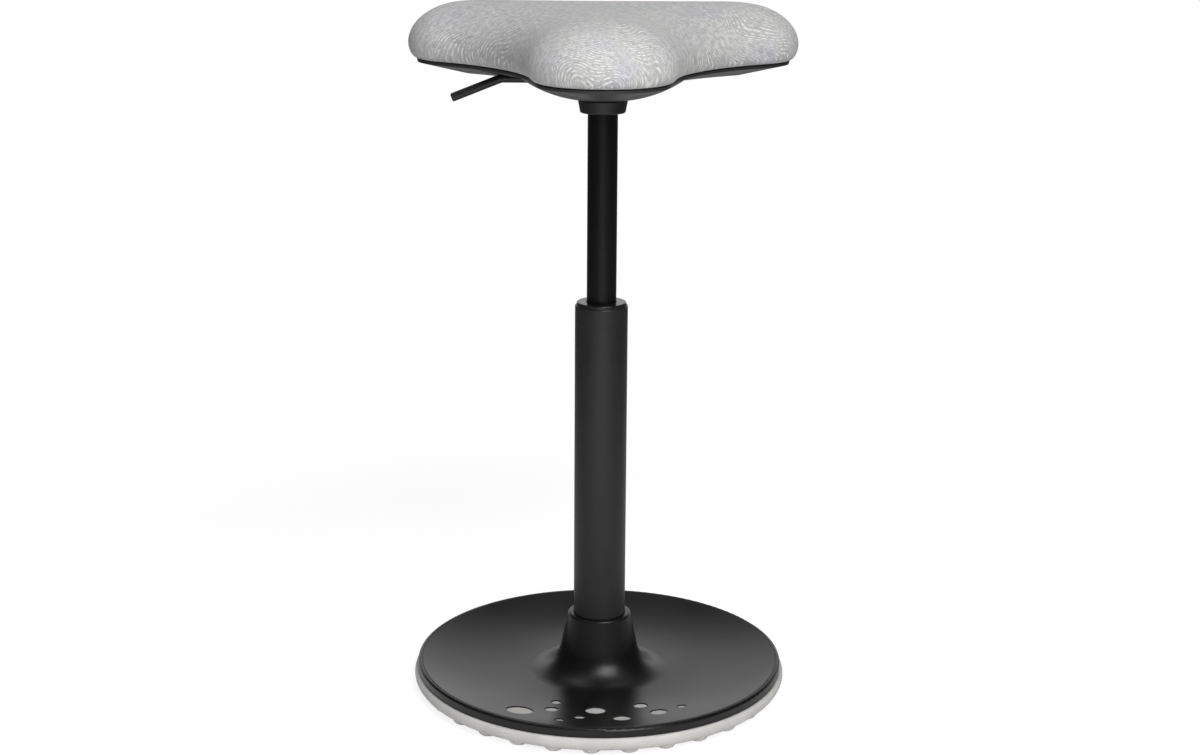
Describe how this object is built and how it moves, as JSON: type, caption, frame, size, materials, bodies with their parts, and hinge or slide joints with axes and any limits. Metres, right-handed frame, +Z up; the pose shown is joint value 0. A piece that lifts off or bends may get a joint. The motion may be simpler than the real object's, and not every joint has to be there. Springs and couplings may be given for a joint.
{
  "type": "perch stool",
  "caption": "Height-adjustable perch stool: lobed upholstered seat on a gas lift column, over a round dished foot with a studded rubber sole and a release lever.",
  "frame": {"origin": "on the floor, on the axis of the column", "axes": "+Z up along the column; -Y towards the seat's front lobe; the release lever points to -X"},
  "size_m": [0.3692, 0.3841, 0.6581],
  "materials": {
    "sole_rubber": "soft matt pale grey rubber",
    "plate_steel": "flat black paint on mild steel",
    "zinc_steel": "bright zinc plating",
    "foot_plastic": "black moulding, semi-gloss with a very fine grain",
    "column_paint": "black powder coat, satin",
    "bush_plastic": "black, smooth",
    "bright_steel": "ground steel",
    "stop_rubber": "black rubber",
    "brass_parts": "turned brass",
    "cylinder_paint": "black paint on the cylinder, satin",
    "mechanism_paint": "black powder coat, satin",
    "lever_paint": "black powder coat, satin",
    "plywood": "plain birch plywood",
    "shell_plastic": "black moulding with a fine grain, semi-matt",
    "foam": "moulded polyurethane foam",
    "seat_fabric": "light grey melange weave with fine curved pale threads"
  },
  "bodies": {
    "base": {"foot_sole": "sole_rubber", "ballast_plate": "plate_steel", "foot_screws": "zinc_steel", "foot_dish": "foot_plastic", "column_hub": "plate_steel", "column_tube": "column_paint", "guide_bush": "bush_plastic", "bearing_race_lower": "bright_steel"},
    "rod": {"thrust_bearing": "bright_steel", "bearing_race_upper": "bright_steel", "bump_stop": "stop_rubber", "piston_rod": "bright_steel", "rod_clip": "bright_steel", "piston": "brass_parts", "piston_seal": "stop_rubber"},
    "seat": {"gas_cylinder": "cylinder_paint", "cylinder_gland": "bright_steel", "valve_block": "brass_parts", "seat_mechanism": "mechanism_paint", "mechanism_bolts": "zinc_steel", "board_inserts": "zinc_steel", "lever_pivot_pin": "bright_steel", "seat_board": "plywood", "seat_shell": "shell_plastic", "shell_screws": "zinc_steel", "seat_foam": "foam", "seat_cover": "seat_fabric"},
    "lever": {"lever_rocker": "mechanism_paint", "lever_rod": "lever_paint"},
    "button": {"release_button": "bright_steel"}
  },
  "joints": [
    {"name": "seat_swivel", "type": "hinge", "parent": "base", "child": "rod", "pos_m": [0, 0, 0.02], "axis": [0, 0, 1], "continuous": true},
    {"name": "seat_height", "type": "slide", "parent": "rod", "child": "seat", "axis": [0, 0, 1], "range_m": [-0.175, 0.085]},
    {"name": "lever_pull", "type": "hinge", "parent": "seat", "child": "lever", "pos_m": [-0.026, 0, 0.5915], "axis": [0, 1, 0], "range_deg": [0, 5.5]},
    {"name": "button_press", "type": "slide", "parent": "seat", "child": "button", "axis": [0, 0, 1], "range_m": [-0.00248, 0], "stiffness_N_per_m": 2000}
  ],
  "couplings": [
    {"joint": "lever_pull", "follows": "button_press", "rad_per_m": -38.46}
  ]
}
